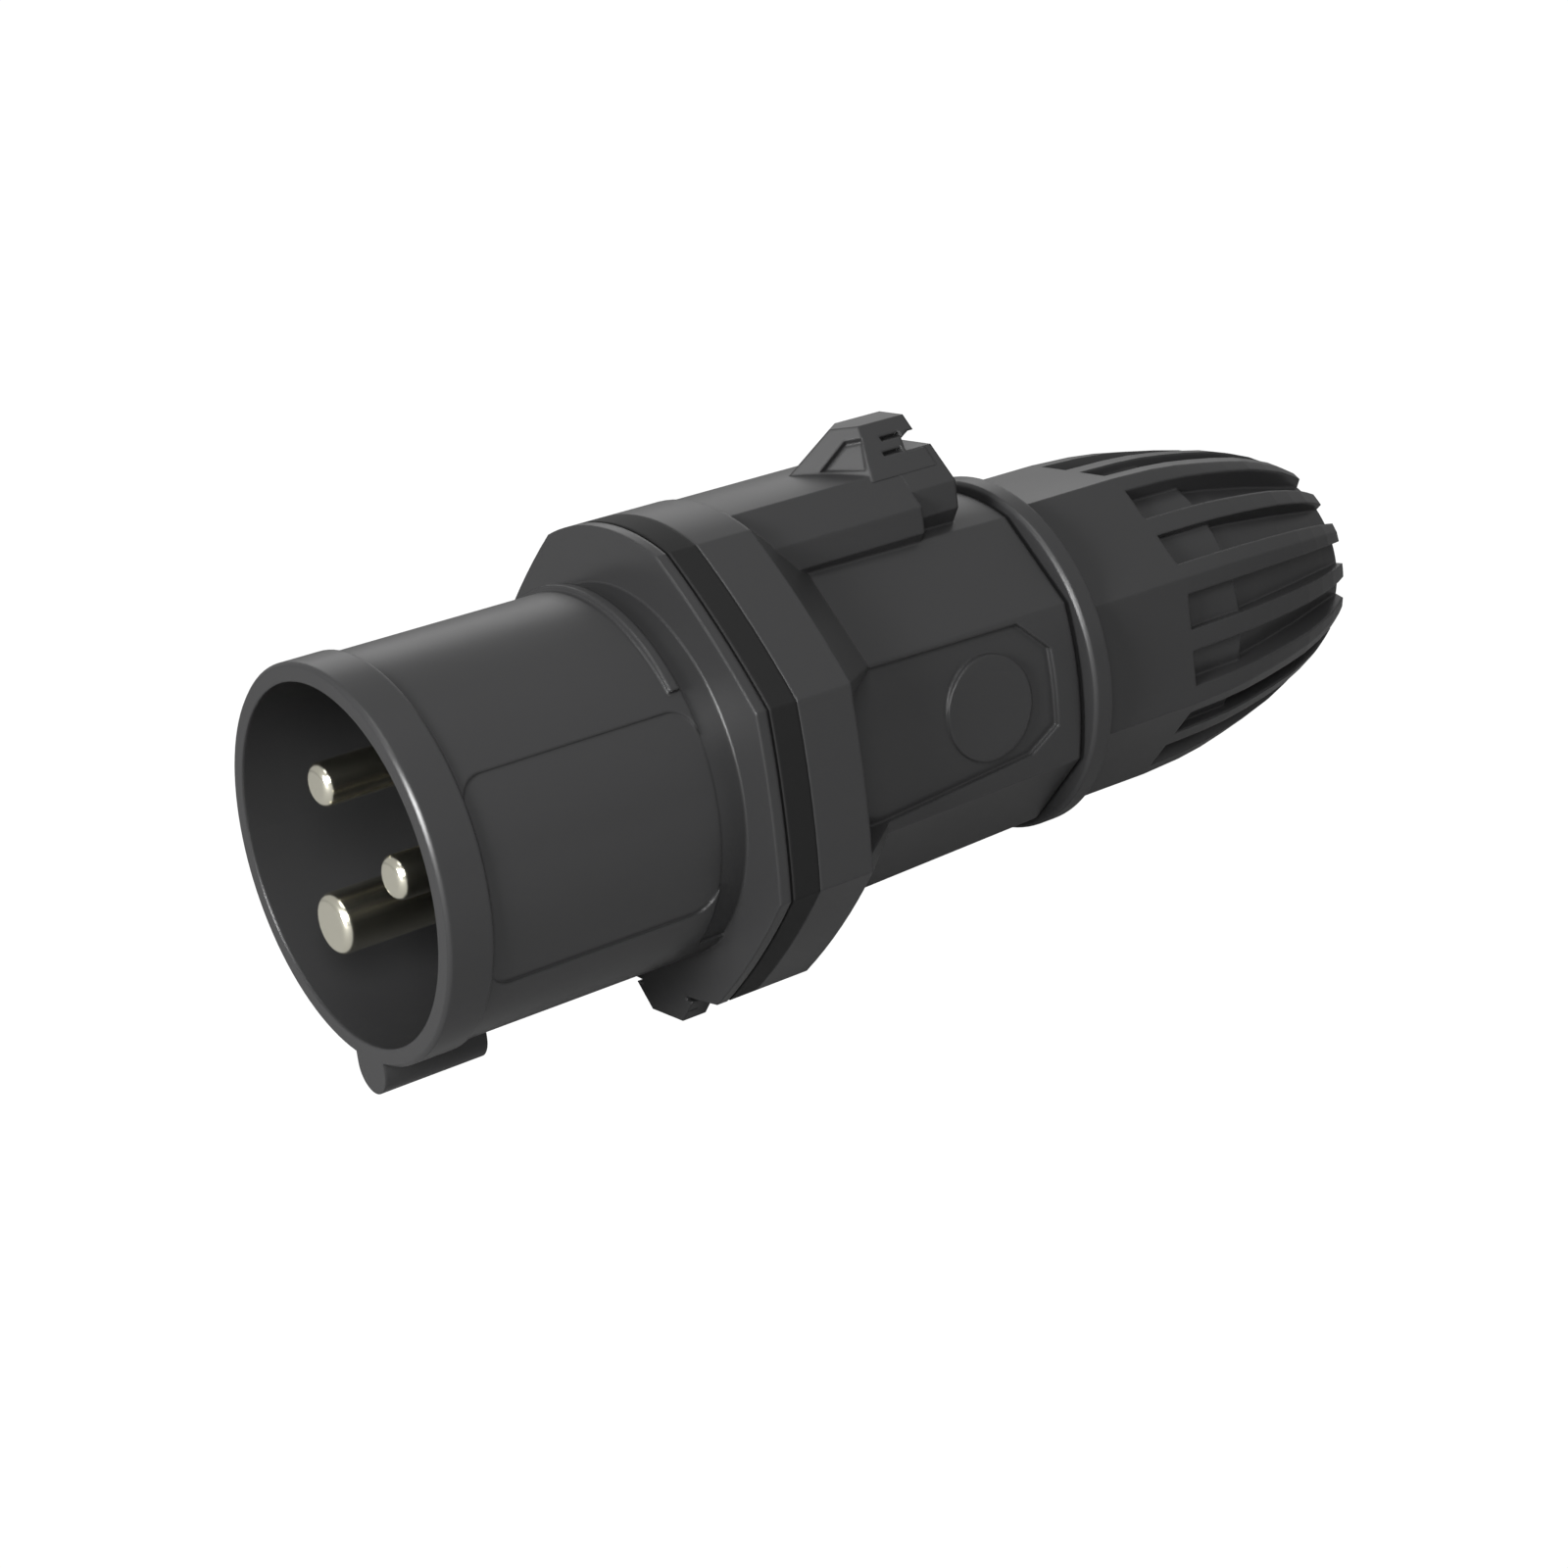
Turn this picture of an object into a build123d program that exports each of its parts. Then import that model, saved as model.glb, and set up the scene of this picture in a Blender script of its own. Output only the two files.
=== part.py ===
from build123d import *
import os
from math import cos, radians, sin

# Three-pin industrial plug with a screwed cable gland.
# The origin is the centre of the mouth rim, +Y runs along the plug to the cable end and +Z is up.
# Angles count from the key, which points straight down, towards +X. Sizes are in millimetres.

os.makedirs("parts", exist_ok=True)

# Fits
seat_gap = 0.05
root_overlap = 0.5
slide_gap = 0.3
edge_round = 0.35
cut_margin = 1.0

# Shroud
rim_r = 22.5
rim_length = 5.5
shroud_r = 22.0
mouth_r = 20.4
mouth_depth = 36.5
floor_thickness = 4.0
floor_end = mouth_depth + floor_thickness
neck_r = 21.7
neck_open_angle = 40.0
rib_width = 1.25
rib_r = 22.6
rib_half_angle = 53.5
panel_depth = 0.25
panel_half_height = 11.5
panel_corner_r = 3.0

# Key under the mouth
key_width = 5.9
key_tip_r = 26.25
key_length = 13.0

# Flange and its lower lug
flange_setback = 1.8
flange_start = mouth_depth + flange_setback
neck_length = 3.5
neck_start = flange_start - neck_length
rib_setback = 1.65
rib_start = neck_start - rib_setback
flange_thickness = 1.4
flange_end = flange_start + flange_thickness
flange_corner_r = 28.2
flange_side_r = 26.6
lug_overhang = 1.8
lug_end = flange_end + lug_overhang
lug_foot_gap = 0.4
lug_height = 2.9
lug_foot_z = -flange_side_r - lug_foot_gap
lug_bottom_z = lug_foot_z - lug_height
lug_bottom_half = 3.1
lug_foot_half = 5.6
lug_root_half = 4.4
lug_root_height = 3.0

# Rear spigot of the shroud, inside the housing
spigot_r = 19.7
spigot_bore_r = 17.5
spigot_length = 9.3
spigot_end = flange_end + spigot_length

# Sealing band between flange and housing
band_width = 4.0
band_end = flange_end + band_width
band_lip = 0.4
band_inset = 0.5

# Housing collar and handle
collar_length = 7.3
collar_end = band_end + collar_length
step_length = 7.5
handle_start = collar_end + step_length
handle_length = 29.5
handle_end = handle_start + handle_length
handle_front_corner_r = 21.7
handle_rear_corner_r = 20.9
handle_front_side_r = 20.7
handle_rear_side_r = 19.8
handle_front_top_r = 21.6
handle_rear_top_r = 20.7
handle_corner_angle = 27.0
cavity_r = 17.0
cavity_taper = 4.5
cavity_end = handle_end - cavity_taper
throat_r = 10.5
throat_length = 2.0
throat_end = handle_end + throat_length
seal_bore_r = 13.5
thread_r = 17.2
thread_length = 13.5
thread_end = handle_end + thread_length

# Grip panels on both sides of the handle
grip_depth = 0.7
grip_core_ease = 0.1
disc_drop = 0.35
grip_lead = 0.3
grip_front = handle_start - grip_lead
grip_knee_setback = 21.9
grip_knee = handle_start + grip_knee_setback
grip_length = 26.0
grip_rear = handle_start + grip_length
grip_top_front_z = 9.45
grip_top_rear_z = 8.9
grip_low_front_z = -8.6
grip_low_rear_z = -6.8
grip_rear_top_z = 5.0
grip_rear_low_z = -4.3
disc_r = 6.2
disc_setback = 16.1
disc_y = handle_start + disc_setback
disc_z = 0.5
disc_height = 0.25

# Deck, rear block and lid catch on top of the handle
deck_r = 27.9
deck_top_half = 6.8
deck_half = 10.8
deck_side_z = 23.1
deck_low_z = 20.0
deck_foot_half = 9.6
deck_foot_z = 18.6
deck_length = 16.5
deck_end = handle_start + deck_length
root_z = 16.0
block_top_z = 28.5
block_top_half = 5.4
block_half = 9.3
block_side_z = 24.6
block_low_z = 21.35
block_foot_half = 7.9
block_foot_z = 19.3
block_length = 6.4
block_end = deck_end + block_length
catch_top_z = 31.95
catch_top_half = 2.2
catch_flank_sum = 34.0
catch_foot_z = 26.5
catch_lead = 13.0
catch_start = deck_end - catch_lead
catch_tail = 5.3
catch_end = deck_end + catch_tail
bow_tip = (0.0, deck_end - 10.3, 27.9)
bow_corner = (6.47, deck_end - 3.7, 27.43)
bow_top = (2.2, deck_end - 1.35, 31.95)
bow_pocket = [
    (2.31, deck_end - 7.57, 27.97),
    (2.13, deck_end - 3.4, 30.71),
    (3.27, deck_end - 1.91, 30.83),
    (6.0, deck_end - 3.75, 27.75),
]
bow_pocket_depth = 0.8
hook_profile = [
    (deck_end + 4.5, 30.3),
    (deck_end + 3.1, 29.8),
    (deck_end + 2.7, 28.8),
    (deck_end + 2.7, 28.4),
    (deck_end + 8.0, 28.4),
    (deck_end + 8.0, 30.3),
]
slot_height = 0.45
slot_depth = 0.9
slots = [(deck_end + 0.4, deck_end + 3.3, 30.2), (deck_end - 0.5, deck_end + 2.3, 28.75)]

# Contacts
pitch_r = 9.0
earth_angle = -30.0
line_angles = [90.0, -150.0]
pin_tip = 1.4
earth_tip = 0.3
line_r = 2.5
earth_r = 3.5
pin_round = 1.0
pin_root_rise = 0.3
pin_root_chamfer = 0.5
pin_root_lead = 0.9
pin_root_start = mouth_depth - pin_root_lead
shoulder_setback = 3.0
shoulder_start = floor_end + shoulder_setback
shoulder_length = 2.0
shoulder_end = shoulder_start + shoulder_length
line_shoulder_r = 4.2
earth_shoulder_r = 4.8
barrel_length = 15.5
barrel_end = shoulder_end + barrel_length
line_barrel_r = 3.7
earth_barrel_r = 4.2
line_wire_r = 2.1
earth_wire_r = 2.4
wire_depth = 12.0
terminal_setback = 10.0
terminal_y = shoulder_end + terminal_setback
terminal_thread_r = 1.9
terminal_head_r = 2.7
terminal_head_height = 2.2
terminal_head_lift = 0.6
screw_slot_width = 0.8
screw_slot_depth = 1.0

# Insulating carrier and its rear plate
carrier_r = 17.2
carrier_length = 6.0
carrier_end = floor_end + carrier_length
plate_length = 3.5
plate_end = carrier_end + plate_length
fin_length = 12.0
fin_end = plate_end + fin_length
fin_thickness = 1.6
fin_inner_r = 1.0
fin_outer_r = 9.8
plate_screw_angles = [60.0, -120.0]
plate_screw_pitch_r = 13.6
plate_screw_r = 1.45
plate_screw_head_r = 2.6
plate_screw_head_height = 1.8
plate_screw_length = 8.5
plate_screw_start = plate_end - plate_screw_length

# Housing screws in the mouth floor, with brass inserts in the housing bosses
boss_angles = [30.0, 150.0, -90.0]
boss_pitch_r = 13.8
boss_r = 3.6
boss_length = 14.0
boss_end = plate_end + boss_length
insert_r = 2.6
insert_setback = 0.6
insert_start = plate_end + insert_setback
insert_length = 8.4
insert_end = insert_start + insert_length
housing_screw_r = 1.8
housing_screw_tail = 1.5
housing_screw_end = insert_end + housing_screw_tail
housing_head_r = 3.1
housing_head_height = 2.2
housing_head_recess = 1.8
housing_head_seat = mouth_depth + housing_head_recess
boss_cap = 2.0
boss_hole_end = boss_end - boss_cap

# Cable seal and clamp
seal_length = 10.0
seal_end = throat_end + seal_length
seal_inner_r = 8.6
core_inner_r = 6.0
core_margin = 0.8
clamp_flange_r = 16.8
clamp_flange_gap = 0.2
clamp_flange_start = thread_end + clamp_flange_gap
clamp_flange_length = 1.3
clamp_flange_end = clamp_flange_start + clamp_flange_length
clamp_bore_r = 8.5
clamp_lead_rise = 0.6
clamp_lead_length = 1.0
finger_tip_length = 1.0
grip_lip_height = 0.9
finger_front_r = 14.2
finger_gap = 0.4
finger_length = 28.0
finger_end = clamp_flange_end + finger_length
finger_front_bore_r = 11.6
finger_slot = 1.8
finger_slot_setback = 2.0
finger_slot_start = clamp_flange_end + finger_slot_setback
finger_count = 8
grip_lip_length = 5.0
thrust_gap = 0.2
thrust_start = clamp_flange_end + thrust_gap
thrust_length = 1.3
thrust_end = thrust_start + thrust_length
thrust_inner_r = 14.8
thrust_r = 17.3

# Gland nut
nut_gap = 0.85
nut_start = handle_end + nut_gap
nut_rim_r = 21.7
nut_rim_length = 2.55
nut_rim_end = nut_start + nut_rim_length
nut_shoulder_r = 21.2
nut_shoulder_y = nut_start + 2.95
nut_body_y = nut_start + 4.35
nut_body_r = 18.6
nut_bore_r = 17.6
nut_seat_gap = 0.3
nut_seat_y = thrust_end + nut_seat_gap
nut_cone_r = 15.2
nut_cone_length = 29.2
nut_cone_end = nut_seat_y + nut_cone_length
nut_mouth_r = 9.0
nut_length = 50.45
nut_end = nut_start + nut_length
nut_flute_setback = 18.15
flute_run_out = 0.3
nut_flute_start = nut_start + nut_flute_setback
nut_sections = [
    (nut_start + 2.15, 20.4, 18.9),
    (nut_start + 18.15, 20.4, 18.9),
    (nut_start + 24.15, 20.1, 18.75),
    (nut_start + 28.15, 19.65, 18.5),
    (nut_start + 32.15, 18.95, 18.0),
    (nut_start + 36.15, 18.15, 17.35),
    (nut_start + 40.15, 17.2, 16.55),
    (nut_start + 43.65, 16.0, 15.5),
    (nut_start + 46.65, 14.8, 14.4),
    (nut_start + 48.75, 13.7, 13.35),
    (nut_start + 50.45, 12.75, 12.4),
]
flute_floor = [
    (nut_start + 18.15, 17.7),
    (nut_start + 27.35, 17.5),
    (nut_start + 28.15, 16.6),
    (nut_start + 32.15, 15.9),
    (nut_start + 36.15, 15.0),
    (nut_start + 40.15, 14.1),
    (nut_start + 44.15, 13.0),
    (nut_start + 47.65, 12.0),
    (nut_start + 50.45, 11.3),
]
flute_inner_angle = 4.0
flute_outer_angle = 17.0
flute_clear = 2.0


def station(y):
    """Return the cross-section plane at y, seen from the mouth, with local x along -X."""
    return Plane(origin=(0, y, 0), x_dir=(-1, 0, 0), z_dir=(0, 1, 0))


def polar(angle, radius):
    """Return the local point of a cross-section plane at an angle from the key."""
    return (-radius * sin(radians(angle)), -radius * cos(radians(angle)))


def radial_plane(angle, radius, y):
    """Return a plane whose normal points away from the plug axis at an angle from the key."""
    out = (sin(radians(angle)), 0, -cos(radians(angle)))
    return Plane(origin=(radius * out[0], y, radius * out[2]), x_dir=(0, 1, 0), z_dir=out)


def draw_outline(corner_angles, corner_radius, mid_radii):
    """Draw a closed outline whose sides bulge to the given radius, or run straight for None."""
    count = len(corner_angles)
    for number in range(count):
        start = corner_angles[number]
        span = (corner_angles[(number + 1) % count] - start) % 360
        first = polar(start, corner_radius)
        last = polar(start + span, corner_radius)
        if mid_radii[number] is None:
            Line(first, last)
        else:
            ThreePointArc(first, polar(start + span / 2, mid_radii[number]), last)


def mirrored(points):
    """Return points of one half outline, followed by their mirror images across the plug."""
    return points + [(-across, up) for across, up in reversed(points)]


collar_angles = [22.5 + 45 * number for number in range(8)]
collar_mids = [flange_corner_r if number == 3 else flange_side_r for number in range(8)]
corner = handle_corner_angle
handle_angles = [side + turn for side in (0, 90, 180, 270) for turn in (corner, 90 - corner)]
front_mids = [None, handle_front_side_r, None, handle_front_top_r] * 2
rear_mids = [None, handle_rear_side_r, None, handle_rear_top_r] * 2
deck_edge_z = (deck_r**2 - deck_top_half**2) ** 0.5


# Shroud with rim, key, flange, lower lug, floor and rear spigot
with BuildPart() as panel_tool:
    with BuildSketch(Plane.YZ):
        with Locations(((rim_length + neck_start) / 2, 0)):
            RectangleRounded(neck_start - rim_length, 2 * panel_half_height, panel_corner_r)
    extrude(amount=rim_r + cut_margin, both=True)
    with BuildSketch(station(0)):
        Circle(shroud_r - panel_depth)
    extrude(amount=mouth_depth, mode=Mode.SUBTRACT)

with BuildPart() as neck_tool:
    with BuildSketch(station(neck_start)):
        Circle(shroud_r + 0.2)
        Circle(neck_r, mode=Mode.SUBTRACT)
        with BuildLine():
            Polyline(
                (0, 0),
                polar(neck_open_angle, 40),
                polar(-neck_open_angle, 40),
                close=True,
            )
        make_face(mode=Mode.SUBTRACT)
    extrude(amount=flange_start - neck_start)

with BuildPart() as front_shroud:
    with BuildSketch(Plane.YZ):
        with BuildLine():
            Polyline(
                (0, 0),
                (0, rim_r - edge_round),
                (edge_round, rim_r),
                (rim_length - edge_round / 2, rim_r),
                (rim_length, rim_r - edge_round / 2),
                (rim_length, shroud_r),
                (flange_end - root_overlap, shroud_r),
                (flange_end - root_overlap, spigot_r),
                (spigot_end - edge_round, spigot_r),
                (spigot_end, spigot_r - edge_round),
                (spigot_end, 0),
                close=True,
            )
        make_face()
    revolve(axis=Axis.Y)
    with BuildSketch(station(flange_start)):
        with BuildLine():
            draw_outline(collar_angles, flange_corner_r, collar_mids)
        make_face()
    extrude(amount=flange_end - flange_start)
    with BuildSketch(station(flange_start)):
        with BuildLine():
            Polyline(
                (lug_bottom_half, lug_bottom_z),
                (lug_foot_half, lug_foot_z),
                (-lug_foot_half, lug_foot_z),
                (-lug_bottom_half, lug_bottom_z),
                close=True,
            )
        make_face()
    extrude(amount=lug_end - flange_start)
    with Locations((0, (flange_start + flange_end) / 2, lug_foot_z)):
        Box(2 * lug_root_half, flange_end - flange_start, lug_root_height)
    with BuildSketch(station(0)):
        with Locations((0, -key_tip_r + key_width / 2)):
            Circle(key_width / 2)
        with Locations((0, -(key_tip_r - key_width / 2) / 2)):
            Rectangle(key_width, key_tip_r - key_width / 2)
    extrude(amount=key_length)
    with BuildSketch(station(rib_start)):
        Circle(rib_r)
        with BuildLine():
            Polyline(
                (0, 0),
                polar(180 - rib_half_angle, 40),
                polar(180 + rib_half_angle, 40),
                close=True,
            )
        make_face(mode=Mode.INTERSECT)
    extrude(amount=rib_width)
    add(panel_tool.part, mode=Mode.SUBTRACT)
    add(neck_tool.part, mode=Mode.SUBTRACT)
    with BuildSketch(station(0)):
        Circle(mouth_r)
    extrude(amount=mouth_depth, mode=Mode.SUBTRACT)
    with BuildSketch(station(floor_end)):
        Circle(spigot_bore_r)
    extrude(amount=spigot_end - floor_end, mode=Mode.SUBTRACT)
    with BuildSketch(station(mouth_depth)):
        for angle in line_angles:
            with Locations(polar(angle, pitch_r)):
                Circle(line_r + pin_root_rise + seat_gap)
        with Locations(polar(earth_angle, pitch_r)):
            Circle(earth_r + pin_root_rise + seat_gap)
        for angle in boss_angles:
            with Locations(polar(angle, boss_pitch_r)):
                Circle(housing_screw_r + seat_gap)
    extrude(amount=floor_end - mouth_depth, mode=Mode.SUBTRACT)
    with BuildSketch(station(mouth_depth)):
        for angle in boss_angles:
            with Locations(polar(angle, boss_pitch_r)):
                Circle(housing_head_r + slide_gap)
    extrude(amount=housing_head_seat - mouth_depth, mode=Mode.SUBTRACT)
front_shroud.part.label = "front_shroud"
export_step(front_shroud.part, "parts/front_shroud.step")

# Soft band that seals the flange against the housing
with BuildPart() as flange_gasket:
    with BuildSketch(station(flange_end)):
        with BuildLine():
            draw_outline(
                collar_angles,
                flange_corner_r - band_inset,
                [mid - band_inset for mid in collar_mids],
            )
        make_face()
        Circle(spigot_r + seat_gap, mode=Mode.SUBTRACT)
    extrude(amount=band_lip)
    with BuildSketch(station(flange_end + band_lip)):
        with BuildLine():
            draw_outline(collar_angles, flange_corner_r, collar_mids)
        make_face()
        Circle(spigot_r + seat_gap, mode=Mode.SUBTRACT)
    extrude(amount=band_end - flange_end - band_lip)
flange_gasket.part.label = "flange_gasket"
export_step(flange_gasket.part, "parts/flange_gasket.step")

# Lid catch: a bow-shaped wedge with a hooked rear end
with BuildPart() as lid_catch:
    with BuildSketch(station(catch_start)):
        with BuildLine():
            Polyline(
                *mirrored(
                    [
                        (catch_top_half, catch_top_z),
                        (catch_flank_sum - catch_foot_z, catch_foot_z),
                    ]
                ),
                close=True,
            )
        make_face()
    extrude(amount=catch_end - catch_start)
    for side in (1, -1):
        tip = Vector(*bow_tip)
        across = Vector(side * bow_corner[0], bow_corner[1], bow_corner[2]) - tip
        rise = Vector(side * bow_top[0], bow_top[1], bow_top[2]) - tip
        bow_normal = across.cross(rise).normalized() * side
        split(bisect_by=Plane(origin=tip, z_dir=bow_normal), keep=Keep.BOTTOM)
    with BuildSketch(Plane.YZ):
        with BuildLine():
            Polyline(*hook_profile, close=True)
        make_face()
    extrude(amount=catch_flank_sum, both=True, mode=Mode.SUBTRACT)
    for side in (1, -1):
        for slot_start, slot_end, slot_z in slots:
            flank_x = catch_flank_sum - slot_z
            with Locations((side * (flank_x + 1), (slot_start + slot_end) / 2, slot_z)):
                Box(2 * (1 + slot_depth), slot_end - slot_start, slot_height, mode=Mode.SUBTRACT)
    for side in (1, -1):
        tip = Vector(*bow_tip)
        across = Vector(side * bow_corner[0], bow_corner[1], bow_corner[2]) - tip
        rise = Vector(side * bow_top[0], bow_top[1], bow_top[2]) - tip
        bow_normal = across.cross(rise).normalized() * side
        bow_plane = Plane(origin=tip, x_dir=across.normalized(), z_dir=bow_normal)
        corners = [bow_plane.to_local_coords(Vector(side * x, y, z)) for x, y, z in bow_pocket]
        with BuildSketch(bow_plane):
            with BuildLine():
                Polyline(*[(point.X, point.Y) for point in corners], close=True)
            make_face()
        extrude(amount=-bow_pocket_depth, mode=Mode.SUBTRACT)

# Inner shape of the handle, which leaves the grip panels their depth
with BuildPart() as grip_tool:
    with BuildSketch(Plane.YZ):
        with BuildLine():
            Polyline(
                (grip_front, grip_top_front_z),
                (grip_knee, grip_top_rear_z),
                (grip_rear, grip_rear_top_z),
                (grip_rear, grip_rear_low_z),
                (grip_knee, grip_low_rear_z),
                (grip_front, grip_low_front_z),
                (collar_end, grip_low_front_z),
                (collar_end, grip_top_front_z),
                close=True,
            )
        make_face()
    extrude(amount=flange_corner_r, both=True)

with BuildPart() as grip_core:
    with BuildSketch(station(collar_end)):
        with BuildLine():
            draw_outline(handle_angles, handle_front_corner_r - grip_depth + grip_core_ease, [
                mid and mid - grip_depth for mid in front_mids
            ])
        make_face()
    with BuildSketch(station(handle_end)):
        with BuildLine():
            draw_outline(handle_angles, handle_rear_corner_r - grip_depth, [
                mid and mid - grip_depth for mid in rear_mids
            ])
        make_face()
    loft(ruled=True)
    with BuildSketch(Plane.YZ):
        with Locations((disc_y, disc_z)):
            Circle(disc_r)
    extrude(amount=handle_front_side_r + disc_height - grip_depth - disc_drop, both=True)

with BuildPart() as grip_cut:
    add(grip_tool.part)
    add(grip_core.part, mode=Mode.SUBTRACT)

# Handle housing: collar, step, tapered handle, deck, rear block, catch and threaded throat
with BuildPart() as handle_housing:
    with BuildSketch(station(band_end)):
        with BuildLine():
            draw_outline(collar_angles, flange_corner_r, collar_mids)
        make_face()
    extrude(amount=collar_end - band_end)
    with BuildSketch(station(collar_end)):
        with BuildLine():
            draw_outline(collar_angles, flange_corner_r, collar_mids)
        make_face()
    with BuildSketch(station(handle_start)):
        with BuildLine():
            draw_outline(handle_angles, handle_front_corner_r, front_mids)
        make_face()
    loft(ruled=True)
    with BuildSketch(station(handle_start)):
        with BuildLine():
            draw_outline(handle_angles, handle_front_corner_r, front_mids)
        make_face()
    with BuildSketch(station(handle_end)):
        with BuildLine():
            draw_outline(handle_angles, handle_rear_corner_r, rear_mids)
        make_face()
    loft(ruled=True)
    add(grip_cut.part, mode=Mode.SUBTRACT)
    with BuildSketch(station(collar_end)):
        with BuildLine():
            ThreePointArc((-deck_top_half, deck_edge_z), (0, deck_r), (deck_top_half, deck_edge_z))
            Polyline(
                (deck_top_half, deck_edge_z),
                (deck_half, deck_side_z),
                (deck_half, deck_low_z),
                (deck_foot_half, deck_foot_z),
                (deck_foot_half, root_z),
                (-deck_foot_half, root_z),
                (-deck_foot_half, deck_foot_z),
                (-deck_half, deck_low_z),
                (-deck_half, deck_side_z),
                (-deck_top_half, deck_edge_z),
            )
        make_face()
    extrude(amount=deck_end - collar_end)
    with BuildSketch(station(deck_end)):
        with BuildLine():
            Polyline(
                *mirrored(
                    [
                        (block_top_half, block_top_z),
                        (block_half, block_side_z),
                        (block_half, block_low_z),
                        (block_foot_half, block_foot_z),
                        (block_foot_half, root_z),
                    ]
                ),
                close=True,
            )
        make_face()
    extrude(amount=block_end - deck_end)
    add(lid_catch.part)
    with BuildSketch(station(handle_end)):
        Circle(thread_r)
    extrude(amount=thread_end - handle_end)
    with BuildSketch(Plane.YZ):
        with BuildLine():
            Polyline(
                (band_end, 0),
                (band_end, spigot_r + seat_gap),
                (plate_end, spigot_r + seat_gap),
                (plate_end, cavity_r),
                (cavity_end, cavity_r),
                (handle_end, throat_r),
                (throat_end, throat_r),
                (throat_end, seal_bore_r),
                (thread_end, seal_bore_r),
                (thread_end, 0),
                close=True,
            )
        make_face()
    revolve(axis=Axis.Y, mode=Mode.SUBTRACT)
    with BuildSketch(station(plate_end)):
        for angle in boss_angles:
            with Locations(polar(angle, boss_pitch_r)):
                Circle(boss_r)
    extrude(amount=boss_end - plate_end)
    with BuildSketch(station(plate_end)):
        for angle in boss_angles:
            with Locations(polar(angle, boss_pitch_r)):
                Circle(insert_r + seat_gap)
    extrude(amount=boss_hole_end - plate_end, mode=Mode.SUBTRACT)
handle_housing.part.label = "handle_housing"
export_step(handle_housing.part, "parts/handle_housing.step")

# Insulating carrier behind the mouth floor
with BuildPart() as contact_carrier:
    with BuildSketch(station(floor_end)):
        Circle(carrier_r)
        for angle in line_angles:
            with Locations(polar(angle, pitch_r)):
                Circle(line_r + pin_root_rise + seat_gap, mode=Mode.SUBTRACT)
        with Locations(polar(earth_angle, pitch_r)):
            Circle(earth_r + pin_root_rise + seat_gap, mode=Mode.SUBTRACT)
        for angle in boss_angles:
            with Locations(polar(angle, boss_pitch_r)):
                Circle(housing_screw_r + seat_gap, mode=Mode.SUBTRACT)
        for angle in plate_screw_angles:
            with Locations(polar(angle, plate_screw_pitch_r)):
                Circle(plate_screw_r + seat_gap, mode=Mode.SUBTRACT)
    extrude(amount=carrier_end - floor_end)
    with BuildSketch(station(shoulder_start)):
        for angle in line_angles:
            with Locations(polar(angle, pitch_r)):
                Circle(line_shoulder_r + seat_gap)
        with Locations(polar(earth_angle, pitch_r)):
            Circle(earth_shoulder_r + seat_gap)
    extrude(amount=carrier_end - shoulder_start, mode=Mode.SUBTRACT)
contact_carrier.part.label = "contact_carrier"
export_step(contact_carrier.part, "parts/contact_carrier.step")

# Rear plate that traps the pin shoulders and parts the terminals with three fins
with BuildPart() as retainer_plate:
    with BuildSketch(station(carrier_end)):
        Circle(carrier_r)
        for angle in line_angles:
            with Locations(polar(angle, pitch_r)):
                Circle(line_barrel_r + seat_gap, mode=Mode.SUBTRACT)
        with Locations(polar(earth_angle, pitch_r)):
            Circle(earth_barrel_r + seat_gap, mode=Mode.SUBTRACT)
        for angle in boss_angles:
            with Locations(polar(angle, boss_pitch_r)):
                Circle(housing_screw_r + seat_gap, mode=Mode.SUBTRACT)
        for angle in plate_screw_angles:
            with Locations(polar(angle, plate_screw_pitch_r)):
                Circle(plate_screw_r + seat_gap, mode=Mode.SUBTRACT)
    extrude(amount=plate_end - carrier_end)
    with BuildSketch(station(shoulder_end)):
        for angle in line_angles:
            with Locations(polar(angle, pitch_r)):
                Circle(line_shoulder_r)
                Circle(line_barrel_r + seat_gap, mode=Mode.SUBTRACT)
        with Locations(polar(earth_angle, pitch_r)):
            Circle(earth_shoulder_r)
            Circle(earth_barrel_r + seat_gap, mode=Mode.SUBTRACT)
    extrude(amount=carrier_end - shoulder_end)
    with BuildSketch(station(plate_end)):
        for angle in boss_angles:
            with BuildLine():
                Line(polar(angle, fin_inner_r), polar(angle, fin_outer_r))
            trace(line_width=fin_thickness)
    extrude(amount=fin_end - plate_end)
retainer_plate.part.label = "retainer_plate"
export_step(retainer_plate.part, "parts/retainer_plate.step")

# Two screws that hold the rear plate to the carrier
with BuildPart() as plate_screws:
    for angle in plate_screw_angles:
        with BuildSketch(station(plate_screw_start)):
            with Locations(polar(angle, plate_screw_pitch_r)):
                Circle(plate_screw_r)
        extrude(amount=plate_end - plate_screw_start)
        with BuildSketch(station(plate_end)):
            with Locations(polar(angle, plate_screw_pitch_r)):
                Circle(plate_screw_head_r)
        extrude(amount=plate_screw_head_height)
        with BuildSketch(station(plate_end + plate_screw_head_height)):
            with Locations(Location((*polar(angle, plate_screw_pitch_r), 0), (0, 0, angle))):
                Rectangle(3 * plate_screw_head_r, screw_slot_width)
        extrude(amount=-screw_slot_depth, mode=Mode.SUBTRACT)
plate_screws.part.label = "plate_screws"
export_step(plate_screws.part, "parts/plate_screws.step")

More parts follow.
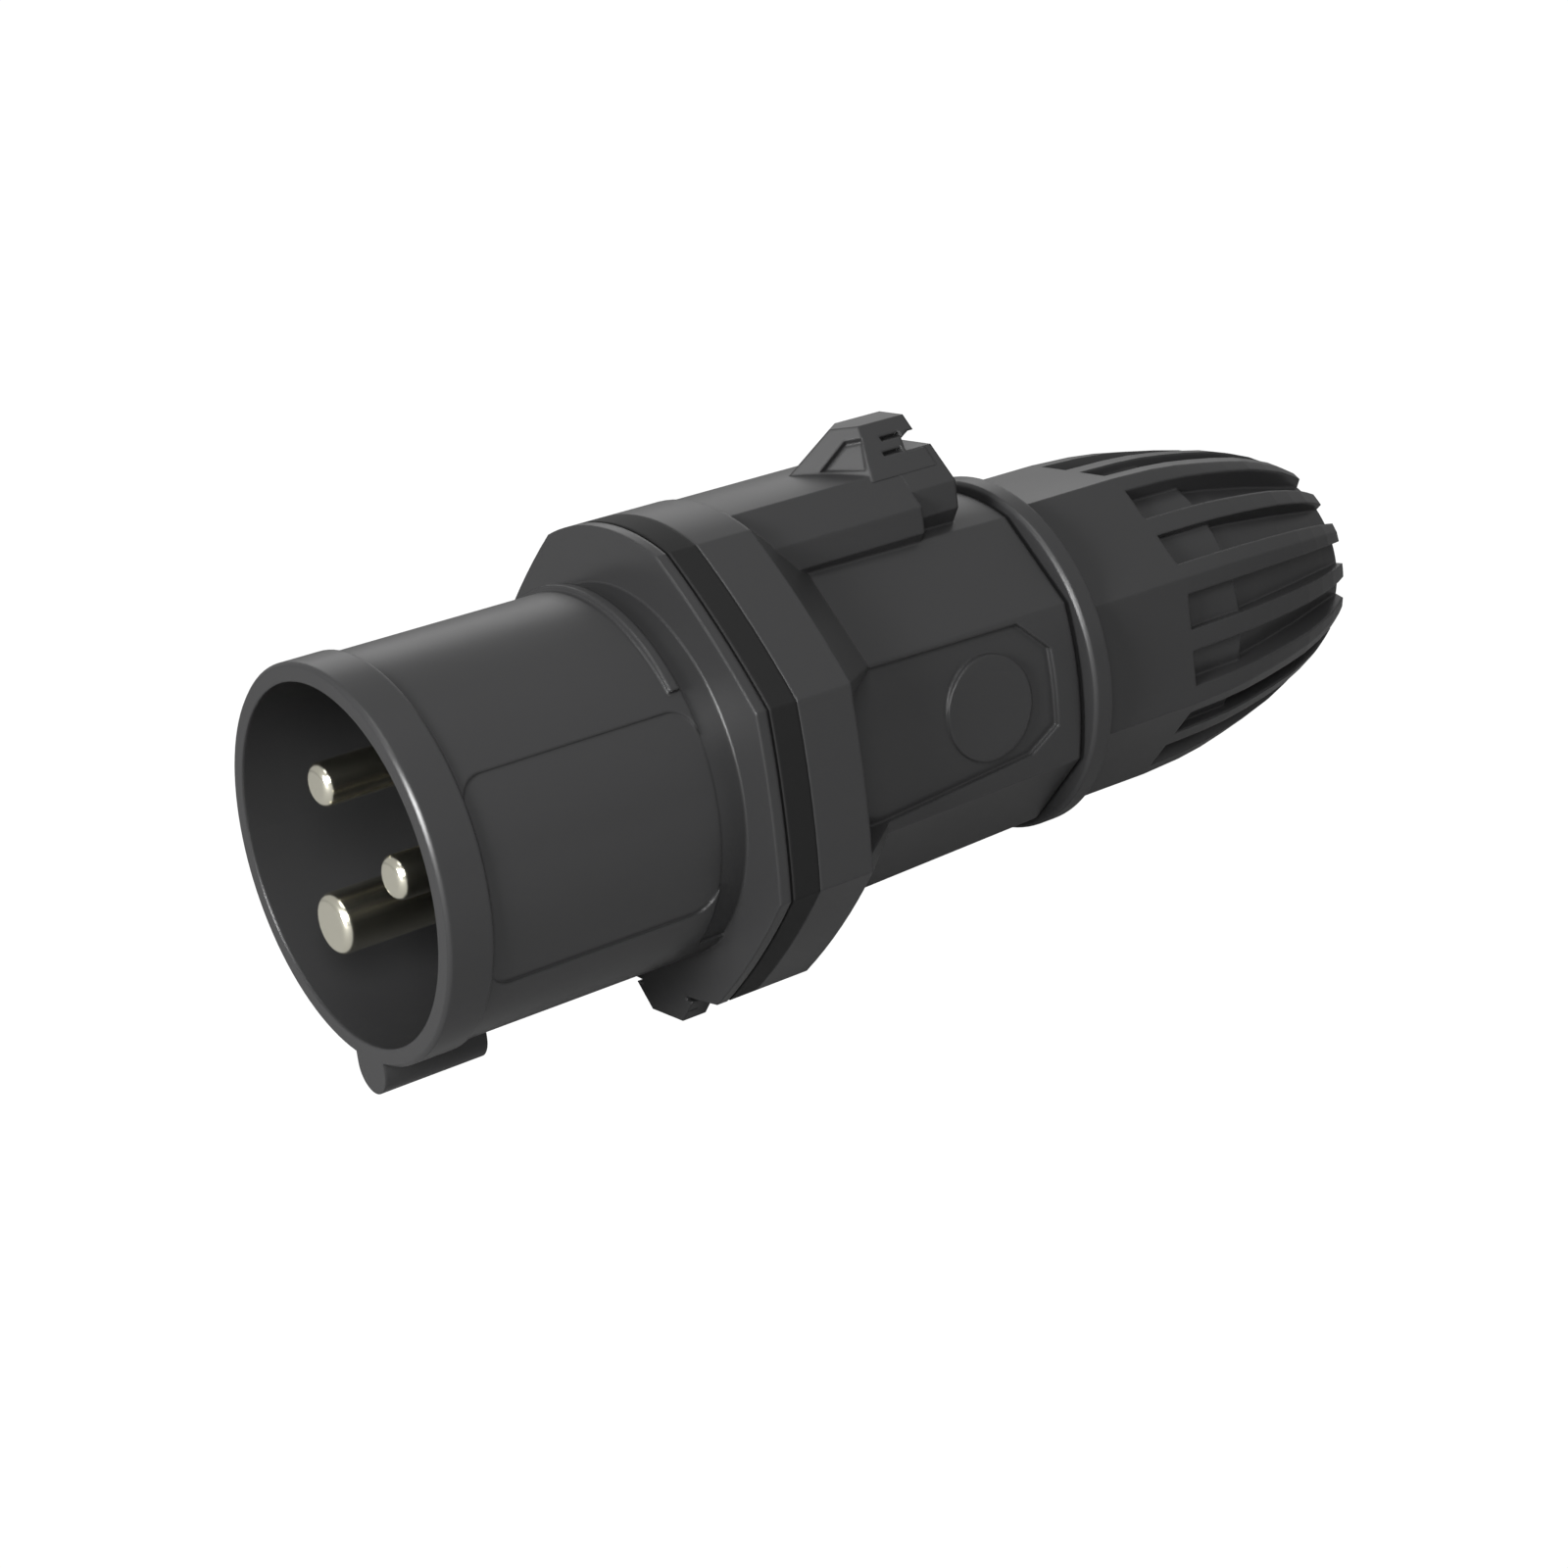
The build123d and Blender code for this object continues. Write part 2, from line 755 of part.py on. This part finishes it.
# Three long screws, worked from the mouth, that pull the housing onto the shroud
with BuildPart() as housing_screws:
    for angle in boss_angles:
        with BuildSketch(station(housing_head_seat)):
            with Locations(polar(angle, boss_pitch_r)):
                Circle(housing_screw_r)
        extrude(amount=housing_screw_end - housing_head_seat)
        with BuildSketch(station(housing_head_seat)):
            with Locations(polar(angle, boss_pitch_r)):
                Circle(housing_head_r)
        extrude(amount=-housing_head_height)
        with BuildSketch(station(housing_head_seat - housing_head_height)):
            for turn in (0, 90):
                with Locations(Location((*polar(angle, boss_pitch_r), 0), (0, 0, angle + turn))):
                    Rectangle(1.3 * housing_head_r, screw_slot_width)
        extrude(amount=screw_slot_depth, mode=Mode.SUBTRACT)
housing_screws.part.label = "housing_screws"
export_step(housing_screws.part, "parts/housing_screws.step")

# Brass inserts moulded into the housing bosses
with BuildPart() as boss_inserts:
    with BuildSketch(station(insert_start)):
        for angle in boss_angles:
            with Locations(polar(angle, boss_pitch_r)):
                Circle(insert_r)
                Circle(housing_screw_r + seat_gap, mode=Mode.SUBTRACT)
    extrude(amount=insert_end - insert_start)
boss_inserts.part.label = "boss_inserts"
export_step(boss_inserts.part, "parts/boss_inserts.step")

# Contact pins, each with a shoulder and a terminal barrel
pin_sizes = {
    "earth_pin": (earth_angle, earth_tip, earth_r, earth_shoulder_r, earth_barrel_r, earth_wire_r),
    "line_pin_1": (line_angles[0], pin_tip, line_r, line_shoulder_r, line_barrel_r, line_wire_r),
    "line_pin_2": (line_angles[1], pin_tip, line_r, line_shoulder_r, line_barrel_r, line_wire_r),
}
for pin_name, (angle, tip, shank_r, shoulder_r, barrel_r, wire_r) in pin_sizes.items():
    with BuildPart() as pin:
        with BuildSketch(station(pin_root_start)):
            with Locations(polar(angle, pitch_r)):
                Circle(shank_r + pin_root_rise)
        extrude(amount=shoulder_start - pin_root_start)
        chamfer(pin.edges().sort_by(Axis.Y)[0], length=pin_root_chamfer)
        with BuildSketch(station(tip)):
            with Locations(polar(angle, pitch_r)):
                Circle(shank_r)
        extrude(amount=shoulder_start - tip)
        fillet(pin.edges().sort_by(Axis.Y)[0], radius=pin_round)
        with BuildSketch(station(shoulder_start)):
            with Locations(polar(angle, pitch_r)):
                Circle(shoulder_r)
        extrude(amount=shoulder_end - shoulder_start)
        with BuildSketch(station(shoulder_end)):
            with Locations(polar(angle, pitch_r)):
                Circle(barrel_r)
        extrude(amount=barrel_end - shoulder_end)
        with BuildSketch(station(barrel_end)):
            with Locations(polar(angle, pitch_r)):
                Circle(wire_r)
        extrude(amount=-wire_depth, mode=Mode.SUBTRACT)
        with BuildSketch(radial_plane(angle, pitch_r, terminal_y)):
            Circle(terminal_thread_r + seat_gap)
        extrude(amount=barrel_r + cut_margin, mode=Mode.SUBTRACT)
    pin.part.label = pin_name
    export_step(pin.part, "parts/" + pin_name + ".step")

# Terminal screws, pointing away from the plug axis
terminal_sizes = {
    "earth_terminal_screw": ([earth_angle], earth_barrel_r),
    "line_terminal_screws": (line_angles, line_barrel_r),
}
for screw_name, (angles, barrel_r) in terminal_sizes.items():
    with BuildPart() as terminal_screw:
        for angle in angles:
            head_start = pitch_r + barrel_r + terminal_head_lift
            with BuildSketch(radial_plane(angle, pitch_r + seat_gap, terminal_y)):
                Circle(terminal_thread_r)
            extrude(amount=head_start - pitch_r)
            with BuildSketch(radial_plane(angle, head_start, terminal_y)):
                Circle(terminal_head_r)
            extrude(amount=terminal_head_height)
            with BuildSketch(radial_plane(angle, head_start + terminal_head_height, terminal_y)):
                Rectangle(3 * terminal_head_r, screw_slot_width)
            extrude(amount=-screw_slot_depth, mode=Mode.SUBTRACT)
    terminal_screw.part.label = screw_name
    export_step(terminal_screw.part, "parts/" + screw_name + ".step")

# Rubber cable seal with a tear-out core for thinner cables
with BuildPart() as cable_seal:
    with BuildSketch(station(throat_end)):
        Circle(seal_bore_r - seat_gap)
        Circle(seal_inner_r, mode=Mode.SUBTRACT)
    extrude(amount=seal_end - throat_end)
cable_seal.part.label = "cable_seal"
export_step(cable_seal.part, "parts/cable_seal.step")

with BuildPart() as seal_core:
    with BuildSketch(station(throat_end + core_margin)):
        Circle(seal_inner_r - seat_gap)
        Circle(core_inner_r, mode=Mode.SUBTRACT)
    extrude(amount=seal_end - throat_end - 2 * core_margin)
seal_core.part.label = "seal_core"
export_step(seal_core.part, "parts/seal_core.step")

# Clamp basket, whose tapered fingers close on the cable
cone_slope = (nut_cone_r - nut_mouth_r) / (nut_cone_end - nut_seat_y)
finger_knee_y = nut_seat_y + (nut_cone_r - finger_gap - finger_front_r) / cone_slope
finger_rear_r = nut_cone_r - finger_gap - cone_slope * (finger_end - finger_tip_length - nut_seat_y)
with BuildPart() as clamp_basket:
    with BuildSketch(Plane.YZ):
        with BuildLine():
            Polyline(
                (seal_end, clamp_bore_r + clamp_lead_rise),
                (seal_end, seal_bore_r - seat_gap),
                (clamp_flange_start, seal_bore_r - seat_gap),
                (clamp_flange_start, clamp_flange_r),
                (clamp_flange_end, clamp_flange_r),
                (clamp_flange_end, finger_front_r),
                (finger_knee_y, finger_front_r),
                (finger_end - finger_tip_length, finger_rear_r),
                (finger_end, finger_rear_r - edge_round),
                (finger_end, clamp_bore_r),
                (finger_end - grip_lip_length, clamp_bore_r),
                (finger_end - 2 * grip_lip_length, clamp_bore_r + grip_lip_height),
                (finger_slot_start, finger_front_bore_r),
                (seal_end + clamp_lead_length, finger_front_bore_r),
                close=True,
            )
        make_face()
    revolve(axis=Axis.Y)
    with BuildSketch(station(finger_slot_start)):
        for number in range(finger_count // 2):
            with Locations(Location((0, 0, 0), (0, 0, 360 / finger_count * number))):
                Rectangle(2 * clamp_flange_r, finger_slot)
    extrude(amount=finger_end - finger_slot_start, mode=Mode.SUBTRACT)
clamp_basket.part.label = "clamp_basket"
export_step(clamp_basket.part, "parts/clamp_basket.step")

# Slip ring that keeps the turning nut off the clamp
with BuildPart() as thrust_ring:
    with BuildSketch(station(thrust_start)):
        Circle(thrust_r)
        Circle(thrust_inner_r, mode=Mode.SUBTRACT)
    extrude(amount=thrust_end - thrust_start)
thrust_ring.part.label = "thrust_ring"
export_step(thrust_ring.part, "parts/thrust_ring.step")

# Gland nut: an eight-sided bell with stepped flutes, eight corner ribs and eight middle ribs
with BuildPart() as flute_tool:
    with BuildSketch(Plane.YZ):
        with BuildLine():
            Polyline(
                *flute_floor,
                (nut_end + cut_margin, flute_floor[-1][1] - flute_run_out),
                (nut_end + cut_margin, nut_rim_r + flute_clear),
                (nut_flute_start, nut_rim_r + flute_clear),
                close=True,
            )
        make_face()
    revolve(axis=Axis.Y)
    with BuildSketch(station(nut_flute_start)):
        for number in range(8):
            for side in (1, -1):
                with BuildLine():
                    Polyline(
                        (0, 0),
                        polar(45 * number + side * flute_inner_angle, 40),
                        polar(45 * number + side * flute_outer_angle, 40),
                        close=True,
                    )
                make_face()
    extrude(amount=nut_end + 1 - nut_flute_start, mode=Mode.INTERSECT)

with BuildPart() as gland_nut:
    with BuildSketch(Plane.YZ):
        with BuildLine():
            Polyline(
                (nut_start, 0),
                (nut_start, nut_rim_r - edge_round),
                (nut_start + edge_round, nut_rim_r),
                (nut_rim_end, nut_rim_r),
                (nut_shoulder_y, nut_shoulder_r),
                (nut_body_y, nut_body_r),
                (nut_body_y, 0),
                close=True,
            )
        make_face()
    revolve(axis=Axis.Y)
    for (near_y, near_r, near_mid), (far_y, far_r, far_mid) in zip(nut_sections, nut_sections[1:]):
        with BuildSketch(station(near_y)):
            with BuildLine():
                draw_outline(collar_angles, near_r, [near_mid] * 8)
            make_face()
        with BuildSketch(station(far_y)):
            with BuildLine():
                draw_outline(collar_angles, far_r, [far_mid] * 8)
            make_face()
        loft(ruled=True)
    add(flute_tool.part, mode=Mode.SUBTRACT)
    with BuildSketch(Plane.YZ):
        with BuildLine():
            Polyline(
                (nut_start, 0),
                (nut_start, nut_bore_r + 0.5),
                (nut_start + 0.5, nut_bore_r),
                (nut_seat_y, nut_bore_r),
                (nut_seat_y, nut_cone_r),
                (nut_cone_end, nut_mouth_r),
                (nut_end - 0.5, nut_mouth_r),
                (nut_end, nut_mouth_r + 0.5),
                (nut_end, 0),
                close=True,
            )
        make_face()
    revolve(axis=Axis.Y, mode=Mode.SUBTRACT)
gland_nut.part.label = "gland_nut"
export_step(gland_nut.part, "parts/gland_nut.step")
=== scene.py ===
import logging
import math
from dataclasses import dataclass
from enum import Enum
from typing import Dict, List, Sequence, Tuple

import bpy
import numpy as np
from mathutils import Matrix


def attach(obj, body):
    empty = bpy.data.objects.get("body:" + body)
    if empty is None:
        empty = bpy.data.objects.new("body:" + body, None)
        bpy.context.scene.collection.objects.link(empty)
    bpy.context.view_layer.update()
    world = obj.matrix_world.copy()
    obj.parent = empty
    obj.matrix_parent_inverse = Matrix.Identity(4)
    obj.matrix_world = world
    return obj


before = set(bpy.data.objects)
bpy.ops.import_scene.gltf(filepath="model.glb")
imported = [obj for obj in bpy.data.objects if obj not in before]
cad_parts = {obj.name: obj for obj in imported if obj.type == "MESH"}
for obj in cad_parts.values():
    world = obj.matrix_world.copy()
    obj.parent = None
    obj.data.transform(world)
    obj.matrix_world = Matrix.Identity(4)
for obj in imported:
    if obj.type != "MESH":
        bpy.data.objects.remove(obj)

# The origin is the centre of the plug's mouth rim, +Y runs to the cable end and +Z is up.
LOG = logging.getLogger("plug_scene")
MM = 0.001
Colour = Tuple[float, float, float]
Point = Tuple[float, float, float]
Socket = bpy.types.NodeSocket
WHITE = (1.0, 1.0, 1.0, 1.0)


class Tone(Enum):
    """The families of surface the plug is made of."""

    PLASTIC = "plastic"
    RUBBER = "rubber"
    METAL = "metal"


SPECULAR_LEVEL: Dict[Tone, float] = {Tone.PLASTIC: 0.5, Tone.RUBBER: 0.3, Tone.METAL: 0.5}
METALLIC: Dict[Tone, float] = {Tone.PLASTIC: 0.0, Tone.RUBBER: 0.0, Tone.METAL: 1.0}


@dataclass(frozen=True)
class Finish:
    """One procedural surface.

    Attributes:
        name: material name.
        tone: family the surface belongs to.
        colour: linear base colour.
        roughness: mean roughness.
        spread: how far the roughness wanders either way.
        grain: bumps per metre of the moulded or turned texture.
        grain_detail: finer layers on the grain.
        depth: strength of that texture's bump.
        bump_mm: height that a full bump stands for.
        cloud: patches per metre of the wandering roughness.
        cloud_detail: finer layers on the patches.
        edge_mm: radius of the rounded look given to sharp edges.
        edge_samples: rays that feel for a near edge.
    """

    name: str
    tone: Tone
    colour: Colour
    roughness: float
    spread: float = 0.04
    grain: float = 3500.0
    grain_detail: float = 3.0
    depth: float = 0.05
    bump_mm: float = 0.05
    cloud: float = 60.0
    cloud_detail: float = 2.0
    edge_mm: float = 0.5
    edge_samples: int = 6


SATIN_BLACK = Finish("satin_black", Tone.PLASTIC, (0.022, 0.022, 0.0225), 0.34)
SHROUD_BLACK = Finish("shroud_black", Tone.PLASTIC, (0.022, 0.022, 0.0225), 0.32)
NUT_BLACK = Finish("nut_black", Tone.PLASTIC, (0.022, 0.022, 0.0225), 0.34)
INNER_GREY = Finish("inner_grey", Tone.PLASTIC, (0.030, 0.030, 0.031), 0.55)
BAND_RUBBER = Finish("band_rubber", Tone.RUBBER, (0.004, 0.004, 0.004), 0.62, depth=0.1)
SEAL_RUBBER = Finish("seal_rubber", Tone.RUBBER, (0.014, 0.014, 0.014), 0.7, depth=0.1)
PIN_METAL = Finish("pin_metal", Tone.METAL, (0.96, 0.93, 0.78), 0.20, grain=2200.0, depth=0.02)
INSERT_BRASS = Finish("insert_brass", Tone.METAL, (0.72, 0.52, 0.22), 0.3, depth=0.02)
SCREW_STEEL = Finish("screw_steel", Tone.METAL, (0.60, 0.60, 0.58), 0.3, depth=0.02)

NODE_FINISH: Dict[str, Finish] = {
    "front_shroud": SHROUD_BLACK,
    "flange_gasket": BAND_RUBBER,
    "handle_housing": SATIN_BLACK,
    "contact_carrier": INNER_GREY,
    "retainer_plate": INNER_GREY,
    "plate_screws": SCREW_STEEL,
    "housing_screws": SCREW_STEEL,
    "boss_inserts": INSERT_BRASS,
    "earth_pin": PIN_METAL,
    "line_pin_1": PIN_METAL,
    "line_pin_2": PIN_METAL,
    "earth_terminal_screw": SCREW_STEEL,
    "line_terminal_screws": SCREW_STEEL,
    "cable_seal": SEAL_RUBBER,
    "seal_core": SEAL_RUBBER,
    "clamp_basket": INNER_GREY,
    "thrust_ring": INNER_GREY,
    "gland_nut": NUT_BLACK,
}


class Surface:
    """Builds the node tree of one finish."""

    def __init__(self, finish: Finish) -> None:
        """Keep the finish.

        Args:
            finish: values the surface is built from.
        """
        self.finish = finish

    def build(self) -> bpy.types.Material:
        """Make the material.

        Returns:
            The new material, with object-space noise in its roughness and bump.
        """
        finish = self.finish
        material = bpy.data.materials.new(finish.name)
        material.use_nodes = True
        nodes = material.node_tree.nodes
        links = material.node_tree.links
        nodes.clear()
        output = nodes.new("ShaderNodeOutputMaterial")
        shader = nodes.new("ShaderNodeBsdfPrincipled")
        shader.inputs["Base Color"].default_value = (*finish.colour, 1.0)
        shader.inputs["Metallic"].default_value = METALLIC[finish.tone]
        shader.inputs["Specular IOR Level"].default_value = SPECULAR_LEVEL[finish.tone]
        links.new(shader.outputs["BSDF"], output.inputs["Surface"])
        place = nodes.new("ShaderNodeTexCoord")
        noise = nodes.new("ShaderNodeTexNoise")
        noise.inputs["Scale"].default_value = finish.grain
        noise.inputs["Detail"].default_value = finish.grain_detail
        links.new(place.outputs["Object"], noise.inputs["Vector"])
        cloud = nodes.new("ShaderNodeTexNoise")
        cloud.inputs["Scale"].default_value = finish.cloud
        cloud.inputs["Detail"].default_value = finish.cloud_detail
        links.new(place.outputs["Object"], cloud.inputs["Vector"])
        rough = nodes.new("ShaderNodeMapRange")
        rough.inputs["To Min"].default_value = finish.roughness - finish.spread
        rough.inputs["To Max"].default_value = finish.roughness + finish.spread
        links.new(cloud.outputs["Fac"], rough.inputs["Value"])
        links.new(rough.outputs["Result"], shader.inputs["Roughness"])
        edge = nodes.new("ShaderNodeBevel")
        edge.samples = finish.edge_samples
        edge.inputs["Radius"].default_value = finish.edge_mm * MM
        bump = nodes.new("ShaderNodeBump")
        bump.inputs["Strength"].default_value = finish.depth
        bump.inputs["Distance"].default_value = finish.bump_mm * MM
        links.new(noise.outputs["Fac"], bump.inputs["Height"])
        links.new(edge.outputs["Normal"], bump.inputs["Normal"])
        links.new(bump.outputs["Normal"], shader.inputs["Normal"])
        return material


@dataclass
class SpigotThread:
    """The coarse thread under the gland nut.

    The section is a trapezium in the plane through the axis. Along the helix its middle
    moves by one pitch for each full turn, and both ends fade to almost nothing.

    Attributes:
        root_mm: radius of the spigot the ridge stands on.
        height_mm: ridge height.
        pitch_mm: advance in one turn.
        start_mm: where the ridge starts along the axis.
        end_mm: where it ends.
        base_mm: ridge width at its foot.
        crest_mm: ridge width at its top.
        sink_mm: how far the foot goes into the spigot.
        fade_turns: share of a turn over which an end fades.
        least_rise: share of the height left at the very ends.
        steps: points in one turn.
    """

    root_mm: float = 17.2
    height_mm: float = 0.24
    pitch_mm: float = 3.0
    start_mm: float = 90.0
    end_mm: float = 100.6
    base_mm: float = 1.5
    crest_mm: float = 0.7
    sink_mm: float = 0.08
    fade_turns: float = 0.25
    least_rise: float = 0.02
    steps: int = 96

    def grid(self) -> np.ndarray:
        """Work out the ridge's points.

        A point at angle a lies at (r sin a, y, r cos a), where r is the spigot's radius plus
        the section's height there, and y moves on by one pitch in each turn.

        Returns:
            Points in millimetres, one row for each step and four for its section.
        """
        turns = (self.end_mm - self.start_mm) / self.pitch_mm
        share = np.linspace(0.0, 1.0, int(turns * self.steps) + 1)
        angle = share * turns * 2.0 * math.pi
        along = self.start_mm + share * (self.end_mm - self.start_mm)
        rise = np.minimum(share, 1.0 - share) * turns / self.fade_turns
        rise = np.clip(rise, self.least_rise, 1.0)
        offset = np.array([-self.base_mm, -self.crest_mm, self.crest_mm, self.base_mm]) / 2.0
        crest = rise * self.height_mm
        foot = np.full_like(crest, -self.sink_mm)
        radius = self.root_mm + np.stack([foot, crest, crest, foot], axis=1)
        across = radius * np.sin(angle)[:, None]
        upward = radius * np.cos(angle)[:, None]
        return np.stack([across, along[:, None] + offset, upward], axis=-1)

    def faces(self, rows: int) -> List[List[int]]:
        """List the ridge's faces, all of them facing outwards.

        Args:
            rows: rows of points along the ridge.

        Returns:
            Four corners for each face, with both ends closed.
        """
        corners = 4
        row = np.arange(rows - 1)[:, None] * corners
        corner = np.arange(corners)[None, :]
        near = row + corner
        after = row + (corner + 1) % corners
        skin = np.stack([near, near + corners, after + corners, after], axis=-1).reshape(-1, 4)
        last = (rows - 1) * corners
        ends = np.array([[0, 1, 2, 3], [last + 3, last + 2, last + 1, last]])
        return np.concatenate([skin, ends]).tolist()

    def build(self, material: bpy.types.Material) -> bpy.types.Object:
        """Make the ridge.

        Args:
            material: finish of the ridge.

        Returns:
            The ridge, riding on the plug's body.
        """
        grid = self.grid()
        mesh = bpy.data.meshes.new("spigot_thread")
        mesh.from_pydata((grid.reshape(-1, 3) * MM).tolist(), [], self.faces(len(grid)))
        mesh.update()
        piece = bpy.data.objects.new("spigot_thread", mesh)
        bpy.context.scene.collection.objects.link(piece)
        piece.data.materials.append(material)
        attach(piece, "plug_body")
        LOG.info("spigot_thread has %d points", len(mesh.vertices))
        return piece


@dataclass(frozen=True)
class Lamp:
    """One soft area lamp.

    Attributes:
        name: lamp name.
        place_mm: where it hangs.
        width_mm: width of its face.
        height_mm: height of its face.
        power: watts.
    """

    name: str
    place_mm: Point
    width_mm: float
    height_mm: float
    power: float


LAMPS: Tuple[Lamp, ...] = (
    Lamp("top_softbox", (120.0, -40.0, 640.0), 300.0, 300.0, 1.0),
    Lamp("camera_side", (520.0, -300.0, 360.0), 260.0, 260.0, 3.8),
    Lamp("mouth_side", (220.0, -600.0, 200.0), 220.0, 220.0, 7.8),
    Lamp("rear_strip", (-520.0, 420.0, 330.0), 760.0, 300.0, 0.6),
)


@dataclass
class Studio:
    """Backdrop, lights and camera.

    Attributes:
        floor_mm: height of the floor under the plug.
        floor_half_mm: half the floor's width.
        lens_mm: camera lens.
        sensor_mm: camera sensor width.
        camera_mm: camera position.
        right: the camera's right-hand direction.
        up: the camera's upward direction.
        back: direction from the subject to the camera.
        target_mm: point that every lamp faces.
        clip_start: nearest distance the camera sees, in metres.
        clip_end: farthest distance the camera sees, in metres.
        seen_white: brightness of the white that the camera sees.
        room_light: brightness of the room for every other ray.
        floor_grey: the floor's colour for every other ray.
        floor_roughness: the floor's roughness for every other ray.
    """

    floor_mm: float = -30.2
    floor_half_mm: float = 3000.0
    lens_mm: float = 74.25
    sensor_mm: float = 36.0
    camera_mm: Point = (297.402, -145.054, 105.365)
    right: Point = (0.59189, 0.79669, -0.12225)
    up: Point = (-0.17233, 0.27325, 0.94638)
    back: Point = (0.78738, -0.53909, 0.29903)
    target_mm: Point = (0.0, 65.0, 0.0)
    clip_start: float = 0.01
    clip_end: float = 50.0
    seen_white: float = 1.05
    room_light: float = 0.36
    floor_grey: float = 0.25
    floor_roughness: float = 0.9

    def split(self, tree: bpy.types.NodeTree, plain: Socket, seen: Socket) -> Socket:
        """Show one shader to the camera and another to every other ray.

        Args:
            tree: node tree that holds both.
            plain: shader of every other ray.
            seen: shader that the camera sees.

        Returns:
            The mixed shader.
        """
        path = tree.nodes.new("ShaderNodeLightPath")
        mix = tree.nodes.new("ShaderNodeMixShader")
        tree.links.new(path.outputs["Is Camera Ray"], mix.inputs["Fac"])
        tree.links.new(plain, mix.inputs[1])
        tree.links.new(seen, mix.inputs[2])
        return mix.outputs["Shader"]

    def floor(self) -> None:
        """Put a wide floor under the plug, which the camera sees as plain white."""
        half = self.floor_half_mm * MM
        low = self.floor_mm * MM
        mesh = bpy.data.meshes.new("floor")
        mesh.from_pydata(
            [(-half, -half, low), (half, -half, low), (half, half, low), (-half, half, low)],
            [],
            [(0, 1, 2, 3)],
        )
        floor = bpy.data.objects.new("floor", mesh)
        bpy.context.scene.collection.objects.link(floor)
        material = bpy.data.materials.new("white_floor")
        material.use_nodes = True
        tree = material.node_tree
        shader = tree.nodes["Principled BSDF"]
        shader.inputs["Base Color"].default_value = (*[self.floor_grey] * 3, 1.0)
        shader.inputs["Roughness"].default_value = self.floor_roughness
        glow = tree.nodes.new("ShaderNodeEmission")
        glow.inputs["Color"].default_value = WHITE
        glow.inputs["Strength"].default_value = self.seen_white
        both = self.split(tree, shader.outputs["BSDF"], glow.outputs["Emission"])
        tree.links.new(both, tree.nodes["Material Output"].inputs["Surface"])
        mesh.materials.append(material)
        LOG.info("floor lies at %.1f mm", self.floor_mm)

    def room(self) -> None:
        """Light the plug from all sides, in front of a background that looks plain white."""
        world = bpy.data.worlds.new("white_world")
        bpy.context.scene.world = world
        world.use_nodes = True
        tree = world.node_tree
        soft = tree.nodes["Background"]
        soft.inputs["Color"].default_value = WHITE
        soft.inputs["Strength"].default_value = self.room_light
        plain = tree.nodes.new("ShaderNodeBackground")
        plain.inputs["Color"].default_value = WHITE
        plain.inputs["Strength"].default_value = self.seen_white
        both = self.split(tree, soft.outputs["Background"], plain.outputs["Background"])
        tree.links.new(both, tree.nodes["World Output"].inputs["Surface"])

    def lights(self) -> None:
        """Hang soft area lamps that all face the middle of the plug."""
        for lamp in LAMPS:
            data = bpy.data.lights.new(lamp.name, "AREA")
            data.shape = "RECTANGLE"
            data.size = lamp.width_mm * MM
            data.size_y = lamp.height_mm * MM
            data.energy = lamp.power
            piece = bpy.data.objects.new(lamp.name, data)
            bpy.context.scene.collection.objects.link(piece)
            out = np.array(lamp.place_mm) - np.array(self.target_mm)
            out = out / np.linalg.norm(out)
            side = np.cross((0.0, 0.0, 1.0), out)
            side = side / np.linalg.norm(side)
            rise = np.cross(out, side)
            piece.matrix_world = basis(side, rise, out, lamp.place_mm)
            LOG.info("lamp %s gives %.1f W", lamp.name, lamp.power)

    def camera(self) -> None:
        """Set the camera where the photograph was taken from."""
        data = bpy.data.cameras.new("photo_camera")
        data.lens = self.lens_mm
        data.sensor_width = self.sensor_mm
        data.clip_start = self.clip_start
        data.clip_end = self.clip_end
        camera = bpy.data.objects.new("photo_camera", data)
        bpy.context.scene.collection.objects.link(camera)
        camera.matrix_world = basis(self.right, self.up, self.back, self.camera_mm)
        bpy.context.scene.camera = camera


def basis(
    side: Sequence[float], rise: Sequence[float], out: Sequence[float], place: Sequence[float]
) -> Matrix:
    """Build a pose from three directions and a place.

    Args:
        side: local X direction.
        rise: local Y direction.
        out: local Z direction.
        place: position in millimetres.

    Returns:
        The world matrix.
    """
    matrix = Matrix.Identity(4)
    for row in range(3):
        matrix[row][0] = side[row]
        matrix[row][1] = rise[row]
        matrix[row][2] = out[row]
        matrix[row][3] = place[row] * MM
    return matrix


def dress_nodes(finishes: Dict[str, bpy.types.Material]) -> None:
    """Give every CAD node its finish.

    Args:
        finishes: material of each finish name.
    """
    for name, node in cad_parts.items():
        node.data.materials.clear()
        node.data.materials.append(finishes[NODE_FINISH[name].name])
        LOG.info("finish of %s is %s", name, NODE_FINISH[name].name)


def main() -> None:
    logging.basicConfig(level=logging.INFO)
    scene = bpy.context.scene
    scene.view_settings.view_transform = "Standard"
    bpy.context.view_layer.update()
    kinds = dict.fromkeys(NODE_FINISH.values())
    finishes = {finish.name: Surface(finish).build() for finish in kinds}
    dress_nodes(finishes)
    SpigotThread().build(finishes[SATIN_BLACK.name])
    studio = Studio()
    studio.floor()
    studio.room()
    studio.lights()
    studio.camera()


if __name__ == "__main__":
    main()
